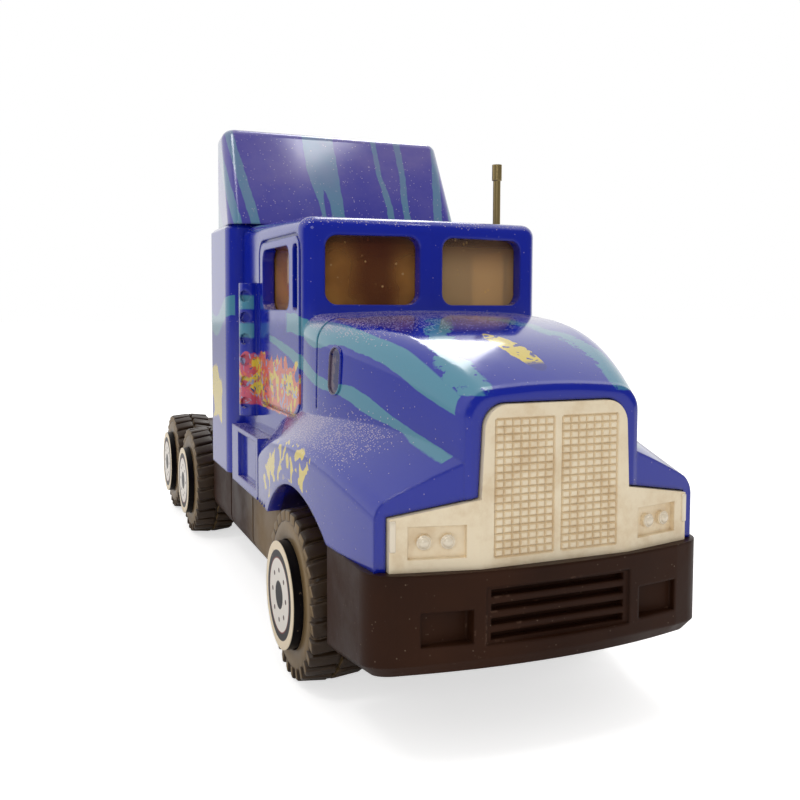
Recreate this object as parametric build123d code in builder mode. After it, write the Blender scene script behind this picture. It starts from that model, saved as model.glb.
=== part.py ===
from build123d import *
import os

os.makedirs("parts", exist_ok=True)

# A small die-cast toy tractor truck, in millimetres.
# It faces -Y, X points to its own left, and it stands on Z = 0.
# Stations are distances back from the bumper's foremost point.

# Wheelbase and overall length
front_axle = 19.1
wheelbase = 51.6
bogie_spacing = 15.8
rear_overhang = 8.5

# Wheels and axles
tyre_radius = 7.1
tyre_width = 5.2
hub_radius = 4.4
hub_stand_out = 0.8
half_track = 15.0
axle_radius = 0.7
axle_cover = 1.0

# Named fits
running_fit = 0.06
press_gap = 0.02
side_gap = 0.5
part_gap = 0.1

# Casting walls
wall = 1.2
glass = 0.9

# Bumper, part of the base
bumper_top = 13.3
bumper_low_front = 6.7
bumper_low_rear = 5.0
bumper_half_width = 13.5
bumper_face_width = 10.4
bumper_bow = 1.0
bumper_corner = 1.9
bumper_rounding = 2.4
bumper_reach = 10.8
bumper_wall = 1.6
bumper_lip = 0.8
fog_inner = 6.6
fog_outer = 10.2
fog_low = 8.5
fog_high = 10.8
fog_floor = 1.5
intake_half_width = 5.7
intake_low = 8.3
intake_high = 12.2
intake_floor = 0.5
intake_slots = 4
slot_height = 0.5
slot_half_width = 5.3
slot_floor = 1.3

# Base plate, rails, deck and tanks
ground_clearance = 4.3
body_floor = 12.0
rail = 1.5
deck_step = 0.4
belly_depth = 1.0
belly_half_width = 5.5
belly_rib = 2.2
tank_gap_front = 2.4
tank_gap_rear = 1.6
tank_half_width = 12.4
tank_rounding = 2.4
tank_seam = 0.4
tank_seam_depth = 0.3
tank_seams = 2
rivet_head = 1.7
rivet_shank = 1.0
rivet_head_height = 0.25
rivet_grip = 2.5
post_radius = 2.0
post_bite = 0.3
post_top_rear = 25.6

# Hood: stations, heights and the crown across it
nose_face = 1.2
wing_sweep = 1.4
wing_half_width = 12.6
nose_rounding = 0.6
fender_front = 0.6
hood_brow = 7.0
hood_middle = 14.5
hood_rear = 24.0
hood_front_top = 25.2
hood_brow_top = 27.6
hood_middle_top = 29.2
hood_rear_top = 30.0
hood_crown = 0.5
hood_seam_station = 19.5
hood_seam_low = 22.3

# Fenders and wheel arches
fender_low = 13.3
fender_corner = 1.9
arch_rise = 1.9
arch_radius = 12.9
arch_lead = 0.6
scallop_station = 31.0
scallops = 4
scallop_pitch = 1.1
scallop_radius = 0.4

# Cab
cab_front = 22.3
cab_sweep = 1.3
cab_rear = 45.3
cab_half_front = 11.7
cab_half_rear = 12.1
cab_corner = 1.4
roof_front = 38.5
roof_rear = 39.4
roof_edge = 1.2
window_corner = 1.1
screen_inner = 1.1
screen_outer = 9.7
screen_low = 30.9
screen_high = 37.0
side_low = 30.4
side_high = 36.3
vent_front = 25.1
vent_rear = 26.5
door_glass_front = 27.7
door_glass_rear = 37.1
door_front = 24.3
door_rear = 38.5
door_low = 20.8
door_high = 37.3
door_corner = 1.6
panel_line = 0.3
panel_depth = 0.3

# Step box and exhaust guard, cast in on each side of the cab
step_front = 32.6
step_rear = 44.6
step_high = 18.0
step_half_width = 13.6
step_panel_rear = 41.5
step_border = 0.9
step_recess = 0.5
guard_station = 40.6
guard_x = 12.45
guard_radius = 1.15
guard_low = 19.4
guard_high = 33.1
guard_holes = 6
guard_hole_pitch = 2.2
guard_hole_radius = 0.6
guard_hole_depth = 0.5

# Sleeper and roof fairing
sleeper_rear = 56.4
sleeper_half_width = 13.8
sleeper_top = 39.6
sleeper_corner = 1.6
sleeper_edge = 0.4
fairing_overhang = 0.7
fairing_half_front = 13.7
fairing_half_rear = 12.9
fairing_top = 50.7
fairing_rake = 5.6
fairing_corner = 1.6
fairing_edge = 1.2

# Grille and headlight insert
grille_face = 0.85
grille_depth = 1.3
grille_half_top = 5.6
grille_half_low = 5.9
grille_top = 24.3
grille_wing_top = 18.0
grille_corner = 1.7
grille_bar = 0.35
field_half_width = 4.85
field_low = 14.0
field_high = 23.3
field_columns = 7
field_rows = 18
field_groove = 0.22
field_depth = 0.2
wing_outer_top = 16.9
wing_outer_x = 12.0
lamp_inner = 6.9
lamp_outer = 10.9
lamp_low = 14.15
lamp_high = 16.35
lamp_recess = 0.4
lamp_radius = 0.5
lamp_height = 0.3
lamp_x = (8.1, 9.7)
lamp_z = 15.25

# Coupling plate and roof aerial
coupling_station = 78.6
coupling_half_width = 6.0
coupling_half_length = 6.5
coupling_corner = 2.0
coupling_thickness = 1.2
coupling_bore = 2.0
aerial_x = 11.0
aerial_station = 30.6
aerial_radius = 0.38
aerial_head_radius = 0.5
aerial_head = 1.6
aerial_top = 45.3

# Values that follow from the ones above
length = front_axle + wheelbase + bogie_spacing + rear_overhang
middle_axle = front_axle + wheelbase
hood_front = nose_face + nose_rounding
axle_stations = {
    "front": front_axle,
    "middle": middle_axle,
    "rear": middle_axle + bogie_spacing,
}
tyre_outer = half_track - hub_stand_out
tyre_inner = tyre_outer - tyre_width
spine_half_width = tyre_inner - side_gap
deck_top = body_floor + deck_step
tank_front = front_axle + tyre_radius + tank_gap_front
tank_rear = middle_axle - tyre_radius - tank_gap_rear
arch_top = 2 * tyre_radius + arch_rise
arch_station = front_axle - arch_lead
arch_half_chord = (arch_radius**2 - (body_floor - arch_top + arch_radius) ** 2) ** 0.5
well_half_width = spine_half_width + part_gap
well_front = arch_station - arch_half_chord - wall
well_rear = arch_station + arch_half_chord + wall
rivet_rear = cab_rear - wall - post_radius + post_bite
# Station of each rivet and height of the casting's post above it
rivets = {
    "front": (hood_middle, hood_middle_top + hood_crown - wall / 2),
    "rear": (rivet_rear, post_top_rear),
}


def at(station):
    """Y of a station counted back from the bumper's front."""
    return station - length / 2


def section(station):
    """Upright plane across the truck, X to its left and Z up."""
    return Plane.XZ.offset(-at(station))


def box(x0, x1, s0, s1, z0, z1, mode=Mode.ADD):
    """Block between two values of X, two stations and two heights."""
    middle = ((x0 + x1) / 2, (at(s0) + at(s1)) / 2, (z0 + z1) / 2)
    with Locations(middle):
        Box(abs(x1 - x0), s1 - s0, z1 - z0, mode=mode)


def crowned(station, half_low, z_low, half_high, z_high, crown, corner):
    """Section with a bowed top and two rounded top corners, symmetrical about X = 0."""
    with BuildSketch(section(station)) as face:
        with BuildLine():
            foot = Line((-half_low, z_low), (half_low, z_low))
            side = Line(foot @ 1, (half_high, z_high))
            top = ThreePointArc(side @ 1, (0, z_high + crown), (-half_high, z_high))
            Line(top @ 1, foot @ 0)
        make_face()
        fillet(face.vertices().group_by(Axis.Y)[-1], corner)
    return face.sketch


# Hood: station, half width at the foot, half width at the top, height of the top edge, corner radius
hood_sections = (
    (hood_front, 7.1, 7.1, hood_front_top, 1.9),
    (hood_brow, 9.0, 8.8, hood_brow_top, 2.4),
    (hood_middle, 11.1, 10.8, hood_middle_top, 2.4),
    (hood_rear, cab_half_front, cab_half_front - 0.2, hood_rear_top, 1.8),
)

# Fenders: station, half width, height of the shoulder, half width and height at the hood's flank
fender_sections = (
    (fender_front, 12.6, 17.3, 6.6, 20.1),
    (hood_brow, 13.4, 18.6, 8.2, 22.2),
    (front_axle, 14.0, 19.4, 10.4, 22.9),
    (front_axle + 9.0, 13.8, 17.9, 11.4, 21.2),
    (step_front + 1.0, 13.5, 16.5, 11.4, 18.6),
)


def hood_face(station, half_low, half_high, top, corner, inset, shift):
    """One section of the hood, drawn in all round and shifted back."""
    widths = (half_low - inset, body_floor, half_high - inset, top - inset)
    return crowned(station + shift, *widths, hood_crown, corner - inset / 2)


def hood_loft(inset, mode, ruled=False):
    """The hood's crowned loft, drawn in by a wall's thickness."""
    loft([hood_face(*row, inset, inset) for row in hood_sections], ruled=ruled, mode=mode)


def fender_face(station, half, shoulder, inner_half, inner_top):
    """Section through both fenders, flat across and sloping down to rounded shoulders."""
    points = [(half, body_floor), (half, shoulder), (inner_half, inner_top)]
    with BuildSketch(section(station)) as face:
        with BuildLine():
            Polyline(*points, *[(-x, z) for x, z in reversed(points)], close=True)
        make_face()
        fillet(face.vertices().filter_by_position(Axis.Y, shoulder - 0.01, shoulder + 0.01), fender_corner)
    return face.sketch


def cab_block(inset, floor):
    """The cab's block, a shallow V in front and wider at the back, drawn in by a wall's thickness."""
    half_front = cab_half_front - inset
    half_rear = cab_half_rear - inset
    with BuildPart() as block:
        with BuildSketch(Plane.XY.offset(floor)) as plan:
            with BuildLine():
                Polyline(
                    (0, at(cab_front + inset)),
                    (half_front, at(cab_front + cab_sweep + inset)),
                    (half_rear, at(cab_rear - inset)),
                    (-half_rear, at(cab_rear - inset)),
                    (-half_front, at(cab_front + cab_sweep + inset)),
                    close=True,
                )
            make_face()
            fillet(plan.vertices().group_by(Axis.Y)[1], max(cab_corner - inset, part_gap))
        extrude(amount=roof_rear - floor)
        with BuildSketch(Plane.YZ):
            with BuildLine():
                Polyline(
                    (at(cab_front - wall), roof_front - inset),
                    (at(cab_rear + wall), roof_rear - inset),
                    (at(cab_rear + wall), roof_rear + wall),
                    (at(cab_front - wall), roof_rear + wall),
                    close=True,
                )
            make_face()
        extrude(amount=cab_half_rear + wall, both=True, mode=Mode.SUBTRACT)
    return block.part


def side_plane():
    """Plane on the cab's left side, x running back from the cab's front corner and y up."""
    front = Vector(cab_half_front, at(cab_front + cab_sweep), 0)
    rear = Vector(cab_half_rear, at(cab_rear), 0)
    return Plane(origin=front, x_dir=rear - front, z_dir=(rear - front).cross(Vector(0, 0, 1)))


def side_rectangle(s0, s1, z0, z1, corner, inset=0.0, mode=Mode.ADD):
    """Rounded rectangle on the cab's side plane, between two stations and two heights."""
    with Locations(((s0 + s1) / 2 - cab_front - cab_sweep, (z0 + z1) / 2)):
        RectangleRounded(s1 - s0 - 2 * inset, z1 - z0 - 2 * inset, corner - inset, mode=mode)


# Cutters for the cab's left side, mirrored for the right
with BuildPart() as side_openings:
    with BuildSketch(side_plane()):
        side_rectangle(vent_front, vent_rear, side_low, side_high, (vent_rear - vent_front) / 3)
        side_rectangle(door_glass_front, door_glass_rear, side_low, side_high, window_corner)
    extrude(amount=1.5 * wall, both=True)

with BuildPart() as door_line:
    with BuildSketch(side_plane()):
        side_rectangle(door_front, door_rear, door_low, door_high, door_corner)
        side_rectangle(door_front, door_rear, door_low, door_high, door_corner, panel_line, Mode.SUBTRACT)
    extrude(amount=panel_depth, both=True)

# Panel line round the hood, cut only above the fenders
with BuildPart() as hood_seam:
    hood_loft(0, Mode.ADD)
    box(
        -cab_half_rear, cab_half_rear, hood_seam_station, hood_seam_station + panel_line,
        hood_seam_low, hood_rear_top + wall, Mode.INTERSECT,
    )
    hood_loft(panel_depth, Mode.SUBTRACT)

# Plan shape of the casting's front, square across the grille and swept back at the headlights
with BuildPart() as front_trim:
    with BuildSketch(Plane.XY.offset(body_floor)):
        with BuildLine():
            Polyline(
                (-wing_half_width, at(nose_face + wing_sweep)),
                (-grille_half_low, at(nose_face)),
                (grille_half_low, at(nose_face)),
                (wing_half_width, at(nose_face + wing_sweep)),
                (2 * wing_half_width, at(nose_face + wing_sweep)),
                (2 * wing_half_width, at(-1)),
                (-2 * wing_half_width, at(-1)),
                (-2 * wing_half_width, at(nose_face + wing_sweep)),
                close=True,
            )
        make_face()
    extrude(amount=roof_front - body_floor)


def insert_outline(gap):
    """Front view of the grille and its two headlight wings."""
    points = [
        (wing_outer_x + gap, fender_low),
        (wing_outer_x + gap, wing_outer_top + gap),
        (grille_half_low + gap, grille_wing_top + gap),
        (grille_half_top + gap, grille_top + gap),
    ]
    with BuildSketch(section(front_axle / 2)) as face:
        with BuildLine():
            Polyline(*points, *[(-x, z) for x, z in reversed(points)], close=True)
        make_face()
        fillet(face.vertices().group_by(Axis.Y)[-1], grille_corner)
    return face.sketch


def insert_plan(front, rear):
    """Plan of the insert: a square middle and swept ends, between two depths."""
    ahead = [
        (-wing_half_width, wing_sweep + front),
        (-grille_half_low, front),
        (grille_half_low, front),
        (wing_half_width, wing_sweep + front),
    ]
    behind = [(x, s + rear - front) for x, s in reversed(ahead)]
    with BuildSketch(Plane.XY.offset(fender_low)) as face:
        with BuildLine():
            Polyline(*[(x, at(s)) for x, s in ahead + behind], close=True)
        make_face()
    return face.sketch


with BuildPart() as insert_pocket:
    extrude(insert_outline(part_gap), amount=front_axle)
    extrude(insert_plan(-wall, grille_face + grille_depth), amount=grille_top, mode=Mode.INTERSECT)

# Cab with rounded roof edges, before it joins the hood
with BuildPart() as cab_shell:
    add(cab_block(0, body_floor))
    fillet(cab_shell.faces().sort_by(Axis.Z)[-1].edges(), roof_edge)

# Cab and hood casting
with BuildPart() as cab_and_hood:
    loft([fender_face(*row) for row in fender_sections])
    add(front_trim.part, mode=Mode.SUBTRACT)
    hood_loft(0, Mode.ADD)
    # Rounded front of the nose, in two steps
    steps = ((nose_rounding, nose_rounding), (0.3 * nose_rounding, 0.7 * nose_rounding), (0, 0))
    loft([hood_face(*hood_sections[0], inset, -shift) for inset, shift in steps], ruled=True)
    add(cab_shell.part)
    for side in (-1, 1):
        inner = side * cab_half_front
        outer = side * step_half_width
        panel = side * (step_half_width - step_recess)
        box(inner, outer, step_front, step_rear, body_floor, step_high)
        box(
            panel, outer + side, step_front + step_border, step_panel_rear,
            body_floor + step_border, step_high - step_border / 2, Mode.SUBTRACT,
        )
        with BuildSketch(Plane.XY.offset(guard_low)):
            with Locations((side * guard_x, at(guard_station))):
                Circle(guard_radius)
        extrude(amount=guard_high - guard_low)
        # Holes that pierce the guard, turned halfway to the front
        guard_middle = (side * guard_x, at(guard_station), (guard_low + guard_high) / 2)
        guard_plane = Plane(origin=guard_middle, x_dir=(1, side, 0), z_dir=(side, -1, 0))
        with BuildSketch(guard_plane.offset(guard_radius - guard_hole_depth)):
            with GridLocations(1, guard_hole_pitch, 1, guard_holes):
                RegularPolygon(guard_hole_radius, 8)
        extrude(amount=guard_radius, mode=Mode.SUBTRACT)
    # Hollow inside, open at the bottom
    hood_loft(wall, Mode.SUBTRACT, ruled=True)
    add(cab_block(wall, body_floor), mode=Mode.SUBTRACT)
    # Inner walls and roofs of the wheel wells
    for side in (-1, 1):
        box(
            side * (well_half_width - wall), side * (cab_half_front - wall / 2),
            well_front, well_rear, body_floor, arch_top + wall,
        )
    # Front lower edge sits on the bumper
    box(-2 * wing_half_width, 2 * wing_half_width, -1, bumper_reach, 0, fender_low, Mode.SUBTRACT)
    add(insert_pocket.part, mode=Mode.SUBTRACT)
    # Wheel arches, and the row of small scallops behind them
    for side in (-1, 1):
        with BuildSketch(Plane.YZ.offset(side * well_half_width)):
            with Locations((at(arch_station), arch_top - arch_radius)):
                Circle(arch_radius)
        extrude(amount=side * half_track, mode=Mode.SUBTRACT)
        with BuildSketch(Plane.YZ.offset(side * cab_half_rear)):
            with Locations((at(scallop_station), body_floor)):
                with GridLocations(scallop_pitch, 1, scallops, 1):
                    RegularPolygon(scallop_radius, 8)
        extrude(amount=side * 2 * wall, mode=Mode.SUBTRACT)
    # Windscreen panes
    for side in (-1, 1):
        with BuildSketch(section(cab_front - wall)):
            with Locations((side * (screen_inner + screen_outer) / 2, (screen_low + screen_high) / 2)):
                RectangleRounded(screen_outer - screen_inner, screen_high - screen_low, window_corner)
        extrude(amount=-(cab_sweep + 2.5 * wall), mode=Mode.SUBTRACT)
    add(hood_seam.part, mode=Mode.SUBTRACT)
    for cutter in (side_openings, door_line):
        add(cutter.part, mode=Mode.SUBTRACT)
        mirror(cutter.part, about=Plane.YZ, mode=Mode.SUBTRACT)
    # Posts that the rivets hold
    for station, post_top in rivets.values():
        with BuildSketch(Plane.XY.offset(body_floor)):
            with Locations((0, at(station))):
                Circle(post_radius)
        extrude(amount=post_top - body_floor)
        with BuildSketch(Plane.XY.offset(body_floor)):
            with Locations((0, at(station))):
                Circle(rivet_shank + press_gap)
        extrude(amount=rivet_grip + part_gap, mode=Mode.SUBTRACT)
    with Locations((aerial_x, at(aerial_station), roof_front)):
        Cylinder(aerial_radius + press_gap, 3 * wall, mode=Mode.SUBTRACT)
cab_and_hood.part.label = "cab_and_hood"
export_step(cab_and_hood.part, "parts/cab_and_hood.step")

# Amber window moulding inside the cab
with BuildPart() as glazing:
    add(cab_block(wall + part_gap, side_low - 3 * wall))
    add(cab_block(wall + part_gap + glass, side_low - 4 * wall), mode=Mode.SUBTRACT)
glazing.part.label = "glazing"
export_step(glazing.part, "parts/glazing.step")

# Sleeper box behind the cab
with BuildPart() as sleeper:
    box(-sleeper_half_width, sleeper_half_width, cab_rear, sleeper_rear, deck_top, sleeper_top)
    upright = sleeper.edges().filter_by(Axis.Z)
    fillet(upright, sleeper_corner)
    chamfer(sleeper.faces().sort_by(Axis.Z)[-1].edges(), sleeper_edge)
    box(
        -sleeper_half_width + wall, sleeper_half_width - wall,
        cab_rear + wall, sleeper_rear - wall, deck_top, sleeper_top - wall, Mode.SUBTRACT,
    )
sleeper.part.label = "sleeper"
export_step(sleeper.part, "parts/sleeper.step")


def fairing_block(inset):
    """Block on the sleeper's roof with a raked front, drawn in by a wall's thickness."""
    front = cab_rear - fairing_overhang + inset
    rear = sleeper_rear - sleeper_edge - inset
    with BuildPart() as block:
        with BuildSketch(Plane.XY.offset(sleeper_top)):
            with BuildLine():
                Polyline(
                    (fairing_half_front - inset, at(front)),
                    (fairing_half_rear - inset, at(rear)),
                    (inset - fairing_half_rear, at(rear)),
                    (inset - fairing_half_front, at(front)),
                    close=True,
                )
            make_face()
        extrude(amount=fairing_top - inset - sleeper_top)
        with BuildSketch(Plane.YZ):
            with BuildLine():
                Polyline(
                    (at(front), sleeper_top),
                    (at(front + fairing_rake), fairing_top - inset),
                    (at(sleeper_rear), fairing_top - inset),
                    (at(sleeper_rear), sleeper_top),
                    close=True,
                )
            make_face()
        extrude(amount=fairing_half_front, both=True, mode=Mode.INTERSECT)
    return block.part


with BuildPart() as roof_fairing:
    add(fairing_block(0))
    fillet(roof_fairing.edges().group_by(Axis.Z)[1], fairing_corner)
    fillet(roof_fairing.faces().sort_by(Axis.Z)[-1].edges(), fairing_edge)
    add(fairing_block(wall), mode=Mode.SUBTRACT)
roof_fairing.part.label = "roof_fairing"
export_step(roof_fairing.part, "parts/roof_fairing.step")

# Headlights on the left wing of the insert, mirrored for the right
wing_front = Vector(grille_half_low, at(grille_face), 0)
wing_end = Vector(wing_half_width, at(grille_face + wing_sweep), 0)
wing_run = wing_end - wing_front
wing_plane = Plane(origin=wing_front, x_dir=wing_run, z_dir=wing_run.cross(Vector(0, 0, 1)))

with BuildPart() as lamp_pocket:
    with BuildSketch(wing_plane.offset(-lamp_recess)):
        with Locations(((lamp_inner + lamp_outer) / 2 - grille_half_low, (lamp_low + lamp_high) / 2)):
            Rectangle(lamp_outer - lamp_inner, lamp_high - lamp_low)
    extrude(amount=wall)

with BuildPart() as lamp_lenses:
    with BuildSketch(wing_plane.offset(-lamp_recess - part_gap)):
        with Locations(*[(x - grille_half_low, lamp_z) for x in lamp_x]):
            Circle(lamp_radius)
    extrude(amount=lamp_height + part_gap)

# Grille with its two headlight wings, one pale insert
with BuildPart() as grille_insert:
    extrude(insert_outline(0), amount=front_axle)
    extrude(insert_plan(grille_face, grille_face + grille_depth), amount=grille_top, mode=Mode.INTERSECT)
    add(lamp_pocket.part, mode=Mode.SUBTRACT)
    mirror(lamp_pocket.part, about=Plane.YZ, mode=Mode.SUBTRACT)
    add(lamp_lenses.part)
    mirror(lamp_lenses.part, about=Plane.YZ)
    # Small square studs, parted by crossing grooves on both sides of the middle bar
    column_pitch = (field_half_width - grille_bar) / field_columns
    row_pitch = (field_high - field_low) / field_rows
    for side in (-1, 1):
        with BuildSketch(Plane.YZ.offset(side * grille_bar)):
            with Locations((at(grille_face), (field_low + field_high) / 2)):
                with GridLocations(1, row_pitch, 1, field_rows + 1):
                    row_groove = [(-field_depth, field_groove), (-field_depth, -field_groove), (field_depth, 0)]
                    Polygon(*row_groove, align=None)
        extrude(amount=side * (field_half_width - grille_bar), mode=Mode.SUBTRACT)
        with BuildSketch(Plane.XY.offset(field_low)):
            with Locations((side * (grille_bar + field_half_width) / 2, at(grille_face))):
                with GridLocations(column_pitch, 1, field_columns + 1, 1):
                    column_groove = [(-field_groove, -field_depth), (field_groove, -field_depth), (0, field_depth)]
                    Polygon(*column_groove, align=None)
        extrude(amount=field_high - field_low, mode=Mode.SUBTRACT)
grille_insert.part.label = "grille_insert"
export_step(grille_insert.part, "parts/grille_insert.step")

# Base: bumper, belly plate, side rails, rear deck and tanks in one moulding
with BuildPart() as base:
    with BuildSketch(Plane.XY.offset(bumper_low_rear)):
        with BuildLine():
            bow = ThreePointArc(
                (-bumper_face_width, at(bumper_bow)), (0, at(0)), (bumper_face_width, at(bumper_bow))
            )
            Polyline(
                bow @ 1,
                (bumper_half_width, at(bumper_corner)),
                (bumper_half_width, at(bumper_reach)),
                (-bumper_half_width, at(bumper_reach)),
                (-bumper_half_width, at(bumper_corner)),
                bow @ 0,
            )
        make_face()
    extrude(amount=bumper_top - bumper_low_rear)
    upright = base.edges().filter_by(Axis.Z)
    fillet(upright.filter_by_position(Axis.Y, at(bumper_corner) - 0.01, at(bumper_corner) + 0.01), bumper_rounding)
    # Underside of the bumper rises towards the front
    with BuildSketch(Plane.YZ):
        with BuildLine():
            Polyline(
                (at(-1), bumper_low_front),
                (at(0), bumper_low_front),
                (at(bumper_reach), bumper_low_rear),
                (at(bumper_reach), 0),
                (at(-1), 0),
                close=True,
            )
        make_face()
    extrude(amount=2 * bumper_half_width, both=True, mode=Mode.SUBTRACT)
    lip = base.faces().sort_by(Axis.Z)[0]
    chamfer(lip.edges().filter_by_position(Axis.Y, at(-1), at(bumper_reach - 1)), bumper_lip)
    inner_half = bumper_half_width - bumper_wall
    box(
        -inner_half, inner_half, bumper_corner + bumper_wall, bumper_reach + 1,
        bumper_low_front + bumper_wall, bumper_top, Mode.SUBTRACT,
    )
    # Fog lamp recesses and the slotted intake
    for side in (-1, 1):
        box(side * fog_inner, side * fog_outer, -1, fog_floor, fog_low, fog_high, Mode.SUBTRACT)
    box(-intake_half_width, intake_half_width, -1, intake_floor, intake_low, intake_high, Mode.SUBTRACT)
    slot_pitch = (intake_high - intake_low) / intake_slots
    with BuildSketch(section(slot_floor)):
        with Locations((0, (intake_low + intake_high) / 2)):
            with GridLocations(1, slot_pitch, 1, intake_slots):
                Rectangle(2 * slot_half_width, slot_height)
    extrude(amount=slot_floor + 1, mode=Mode.SUBTRACT)
    # Spine between the wheels, with the raised rear deck
    box(-spine_half_width, spine_half_width, bumper_corner + bumper_wall, length, bumper_low_front, body_floor)
    box(-spine_half_width, spine_half_width, bumper_reach, length, ground_clearance, body_floor)
    box(-spine_half_width, spine_half_width, cab_rear, length, body_floor, deck_top)
    # Shallow bays in the belly, between the axles and the rivets
    bays = (
        (front_axle + belly_rib, rivet_rear - rivet_head - belly_rib),
        (rivet_rear + rivet_head + belly_rib, middle_axle - belly_rib),
        (middle_axle + belly_rib, coupling_station - coupling_bore - belly_rib / 2),
    )
    for bay_front, bay_rear in bays:
        box(
            -belly_half_width, belly_half_width, bay_front, bay_rear,
            ground_clearance, ground_clearance + belly_depth, Mode.SUBTRACT,
        )
    # Tanks and side skirts
    for side in (-1, 1):
        with BuildSketch(section(tank_rear)):
            with BuildLine():
                Polyline(
                    (side * (spine_half_width - rail), ground_clearance),
                    (side * tank_half_width, ground_clearance),
                    (side * tank_half_width, body_floor),
                    (side * (spine_half_width - rail), body_floor),
                    close=True,
                )
            tank = make_face()
            low_corners = tank.vertices().group_by(Axis.Y)[0].sort_by(Axis.X)
            fillet(low_corners[-1 if side > 0 else 0], tank_rounding)
        extrude(amount=tank_rear - tank_front)
        seam_pitch = (tank_rear - tank_front) / (tank_seams + 1)
        for number in range(tank_seams):
            seam = tank_front + (number + 1) * seam_pitch
            outer = side * tank_half_width
            box(
                outer - side * tank_seam_depth, outer + side, seam, seam + tank_seam,
                ground_clearance, body_floor, Mode.SUBTRACT,
            )
    # Axle bores and rivet holes
    for station in axle_stations.values():
        with BuildSketch(Plane.YZ):
            with Locations((at(station), tyre_radius)):
                Circle(axle_radius + running_fit)
        extrude(amount=spine_half_width + 1, both=True, mode=Mode.SUBTRACT)
    for station, post_top in rivets.values():
        with Locations((0, at(station), ground_clearance)):
            Cylinder(rivet_shank + press_gap, 3 * body_floor, mode=Mode.SUBTRACT)
    with Locations((0, at(coupling_station), deck_top)):
        Cylinder(coupling_bore, 3 * deck_top, mode=Mode.SUBTRACT)
base.part.label = "base"
export_step(base.part, "parts/base.step")

# Coupling plate on the deck, with the trailer pin's bore
with BuildPart() as coupling_plate:
    with BuildSketch(Plane.XY.offset(deck_top)):
        with Locations((0, at(coupling_station))):
            RectangleRounded(2 * coupling_half_width, 2 * coupling_half_length, coupling_corner)
            Circle(coupling_bore, mode=Mode.SUBTRACT)
    extrude(amount=coupling_thickness)
coupling_plate.part.label = "coupling_plate"
export_step(coupling_plate.part, "parts/coupling_plate.step")

# Roof aerial, a thin pin with a flared head
with BuildPart() as roof_aerial:
    with BuildSketch(Plane.XY.offset(roof_front - wall)):
        with Locations((aerial_x, at(aerial_station))):
            Circle(aerial_radius)
    extrude(amount=aerial_top - roof_front + wall)
    with BuildSketch(Plane.XY.offset(aerial_top - aerial_head)):
        with Locations((aerial_x, at(aerial_station))):
            Circle(aerial_head_radius)
    extrude(amount=aerial_head)
roof_aerial.part.label = "roof_aerial"
export_step(roof_aerial.part, "parts/roof_aerial.step")

# Rivets that close the base on the casting
for name, (station, post_top) in rivets.items():
    with BuildPart() as rivet:
        with BuildSketch(Plane.XY.offset(ground_clearance - rivet_head_height)):
            with Locations((0, at(station))):
                Circle(rivet_head)
        extrude(amount=rivet_head_height)
        with BuildSketch(Plane.XY.offset(ground_clearance)):
            with Locations((0, at(station))):
                Circle(rivet_shank)
        extrude(amount=body_floor - ground_clearance + rivet_grip)
    rivet.part.label = f"{name}_rivet"
    export_step(rivet.part, f"parts/{name}_rivet.step")

# Axles, hubs and tyres
for axle_name, station in axle_stations.items():
    centre = (at(station), tyre_radius)
    with BuildPart() as axle:
        with BuildSketch(Plane.YZ):
            with Locations(centre):
                Circle(axle_radius)
        extrude(amount=half_track - axle_cover, both=True)
    axle.part.label = f"{axle_name}_axle"
    export_step(axle.part, f"parts/{axle_name}_axle.step")
    for side_name, side in (("right", -1), ("left", 1)):
        with BuildPart() as hub:
            with BuildSketch(Plane.YZ.offset(side * tyre_inner)):
                with Locations(centre):
                    Circle(hub_radius - press_gap)
            extrude(amount=side * (half_track - tyre_inner))
            with BuildSketch(Plane.YZ.offset(side * tyre_inner)):
                with Locations(centre):
                    Circle(axle_radius + press_gap)
            extrude(amount=side * (half_track - axle_cover - tyre_inner), mode=Mode.SUBTRACT)
        hub.part.label = f"{axle_name}_hub_{side_name}"
        export_step(hub.part, f"parts/{axle_name}_hub_{side_name}.step")
        with BuildPart() as tyre:
            with BuildSketch(Plane.YZ.offset(side * tyre_inner)):
                with Locations(centre):
                    Circle(tyre_radius)
                    Circle(hub_radius, mode=Mode.SUBTRACT)
            extrude(amount=side * tyre_width)
        tyre.part.label = f"{axle_name}_tyre_{side_name}"
        export_step(tyre.part, f"parts/{axle_name}_tyre_{side_name}.step")
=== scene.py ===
import bpy
import bmesh
import math
from mathutils import Matrix, Vector
from mathutils.bvhtree import BVHTree


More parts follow.
